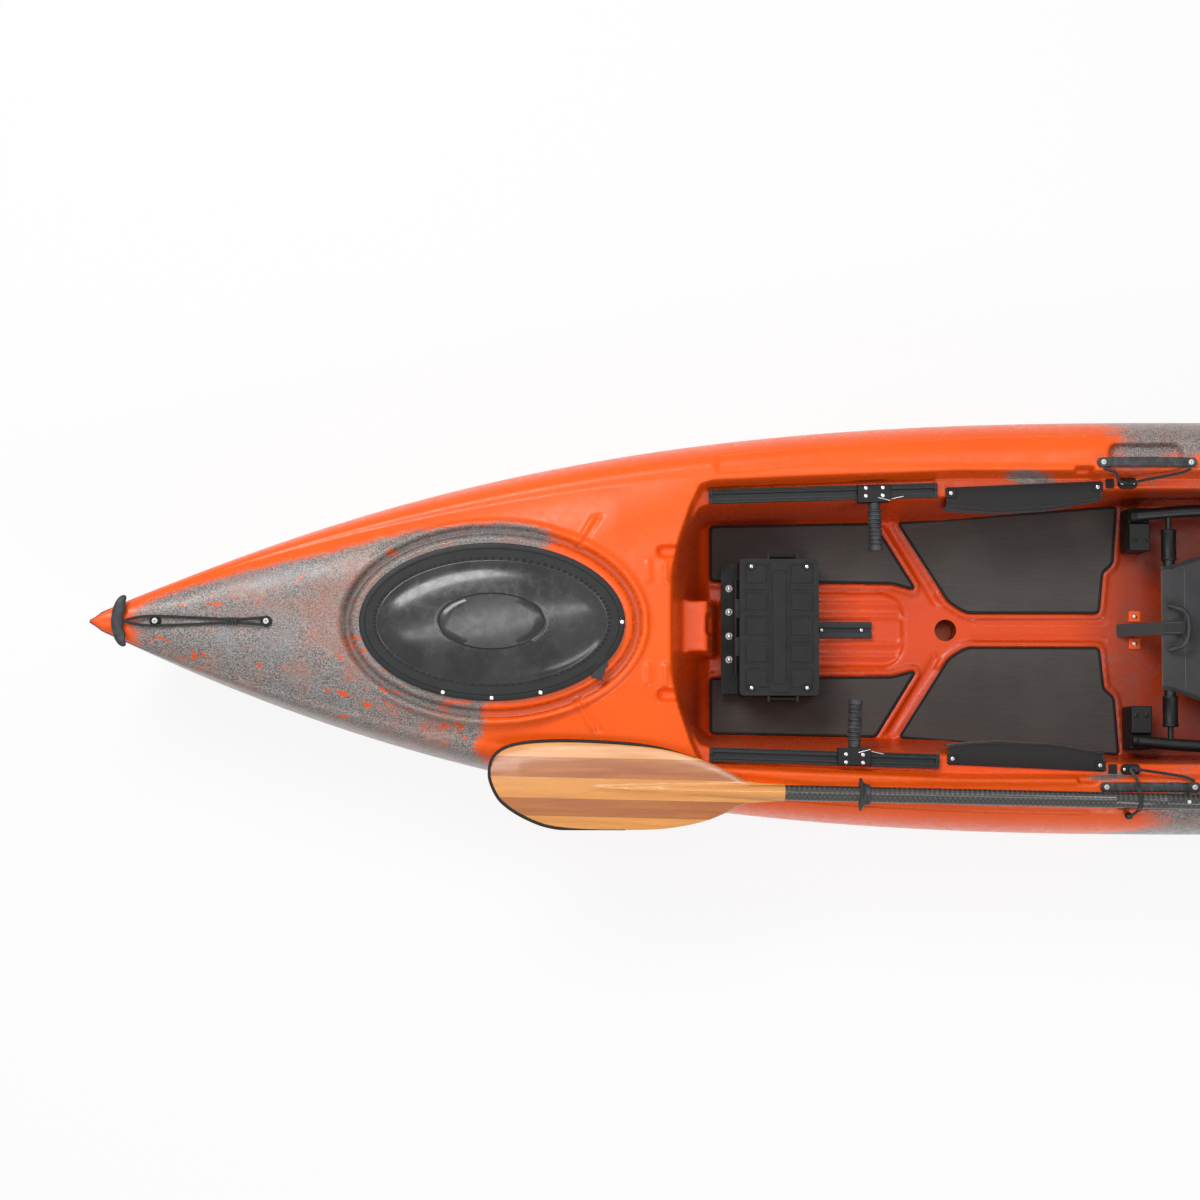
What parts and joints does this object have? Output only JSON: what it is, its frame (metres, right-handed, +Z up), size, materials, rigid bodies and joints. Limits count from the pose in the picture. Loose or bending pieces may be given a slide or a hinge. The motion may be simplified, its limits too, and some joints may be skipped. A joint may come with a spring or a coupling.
{
  "type": "fishing kayak",
  "caption": "Sit-on-top fishing kayak with frame seat, sliding foot pegs, tackle box, domed bow hatch, tank well and a paddle under its keeper cord.",
  "frame": {"origin": "amidships on the centreline, on the flat of the keel", "axes": "+X towards the stern, +Y to starboard, +Z up"},
  "size_m": [4.267, 0.8978, 0.6227],
  "materials": {
    "deck_plastic": "satin moulded polyethylene, orange with grey camouflage speckle",
    "hull_plastic": "satin moulded polyethylene, orange",
    "pad_foam": "fine grained foam",
    "black_plastic": "moulded, fine grain",
    "hatch_plastic": "glossy moulded",
    "rubber": "matt",
    "black_aluminium": "black anodised",
    "steel": "bright",
    "wood": "varnished laminated strips",
    "carbon": "clear coated carbon weave",
    "seat_fabric": "woven mesh, black bound",
    "pouch_mesh": "mesh and webbing",
    "cord": "braided cord",
    "white_plastic": "satin"
  },
  "bodies": {
    "hull": {"hull_shell": "hull_plastic", "deck_bow": "deck_plastic", "deck_stern": "deck_plastic", "cockpit_floor": "deck_plastic", "cockpit_side_starboard": "deck_plastic", "cockpit_side_port": "deck_plastic", "hatch_rim": "black_plastic", "centre_track": "black_aluminium", "tackle_box_base": "black_plastic", "tackle_box_foot": "black_plastic", "paddle_blade_rear": "wood", "paddle_blade_front": "wood", "paddle_shaft_rear": "carbon", "paddle_shaft_front": "carbon", "paddle_drip_ring_rear": "rubber", "paddle_drip_ring_front": "rubber", "tank_lacing": "cord", "bow_handle_cord": "cord", "bow_eye_front": "black_plastic", "bow_eye_rear": "black_plastic", "stern_handle_cord": "cord", "stern_eye_front": "black_plastic", "stern_eye_rear": "black_plastic", "floor_pad_front_starboard": "pad_foam", "floor_pad_rear_starboard": "pad_foam", "foot_rail_starboard": "black_aluminium", "side_pouch_starboard": "pouch_mesh", "side_handle_starboard": "rubber", "keeper_bungee_starboard": "cord", "keeper_hook_starboard": "black_plastic", "seat_saddle_starboard": "black_plastic", "rod_holder_starboard": "black_plastic", "floor_pad_front_port": "pad_foam", "floor_pad_rear_port": "pad_foam", "foot_rail_port": "black_aluminium", "side_pouch_port": "pouch_mesh", "side_handle_port": "rubber", "keeper_bungee_port": "cord", "keeper_hook_port": "black_plastic", "seat_saddle_port": "black_plastic", "rod_holder_port": "black_plastic"},
    "hatch_lid": {"hatch_lid": "hatch_plastic"},
    "bow_handle": {"bow_handle_grip": "rubber", "bow_handle_leader": "cord"},
    "stern_handle": {"stern_handle_grip": "rubber", "stern_handle_leader": "cord"},
    "brace_starboard": {"foot_carriage_starboard": "black_plastic", "foot_peg_starboard": "rubber"},
    "brace_port": {"foot_carriage_port": "black_plastic", "foot_peg_port": "rubber"},
    "box_lid": {"tackle_box_lid": "black_plastic"},
    "latch_starboard": {"tackle_box_latch_starboard": "black_plastic"},
    "latch_port": {"tackle_box_latch_port": "black_plastic"},
    "paddle_button": {"paddle_button": "white_plastic"},
    "seat": {"seat_frame": "black_aluminium", "seat_sling": "seat_fabric", "seat_strap": "cord"},
    "seat_back": {"seat_back_frame": "black_aluminium", "seat_back_panel": "seat_fabric"},
    "drain_plug": {"drain_plug": "black_plastic"}
  },
  "joints": [
    {"name": "hatch_lift", "type": "slide", "parent": "hull", "child": "hatch_lid", "axis": [0, 0, 1], "range_m": [0, 0.06]},
    {"name": "bow_handle_lift", "type": "hinge", "parent": "hull", "child": "bow_handle", "pos_m": [-1.9955, 0, 0.4158], "axis": [0, 1, 0], "range_deg": [0, 70]},
    {"name": "stern_handle_lift", "type": "hinge", "parent": "hull", "child": "stern_handle", "pos_m": [1.9955, 0, 0.3972], "axis": [0, -1, 0], "range_deg": [0, 70]},
    {"name": "brace_starboard_slide", "type": "slide", "parent": "hull", "child": "brace_starboard", "axis": [0.9996, 0.0291, 0], "range_m": [-0.298, 0.09]},
    {"name": "brace_port_slide", "type": "slide", "parent": "hull", "child": "brace_port", "axis": [0.9996, -0.0291, 0], "range_m": [-0.255, 0.133]},
    {"name": "box_lid_hinge", "type": "hinge", "parent": "hull", "child": "box_lid", "pos_m": [-0.8118, 0, 0.19015], "axis": [0, -1, 0], "range_deg": [0, 110]},
    {"name": "latch_starboard_hinge", "type": "hinge", "parent": "box_lid", "child": "latch_starboard", "pos_m": [-0.715, 0.149, 0.2023], "axis": [1, 0, 0], "range_deg": [0, 100]},
    {"name": "latch_port_hinge", "type": "hinge", "parent": "box_lid", "child": "latch_port", "pos_m": [-0.715, -0.149, 0.2023], "axis": [-1, 0, 0], "range_deg": [0, 100]},
    {"name": "paddle_button_press", "type": "slide", "parent": "hull", "child": "paddle_button", "axis": [0, 0, -1], "range_m": [0, 0.003], "stiffness_N_per_m": 300, "springref_m": -0.002},
    {"name": "seat_lift", "type": "slide", "parent": "hull", "child": "seat", "axis": [0, 0, 1], "range_m": [0, 0.15]},
    {"name": "seat_back_fold", "type": "hinge", "parent": "seat", "child": "seat_back", "pos_m": [0.38, 0, 0.18708], "axis": [0, 1, 0], "range_deg": [-80, 0]},
    {"name": "drain_plug_lift", "type": "slide", "parent": "hull", "child": "drain_plug", "axis": [0, 0, 1], "range_m": [0, 0.028]}
  ]
}
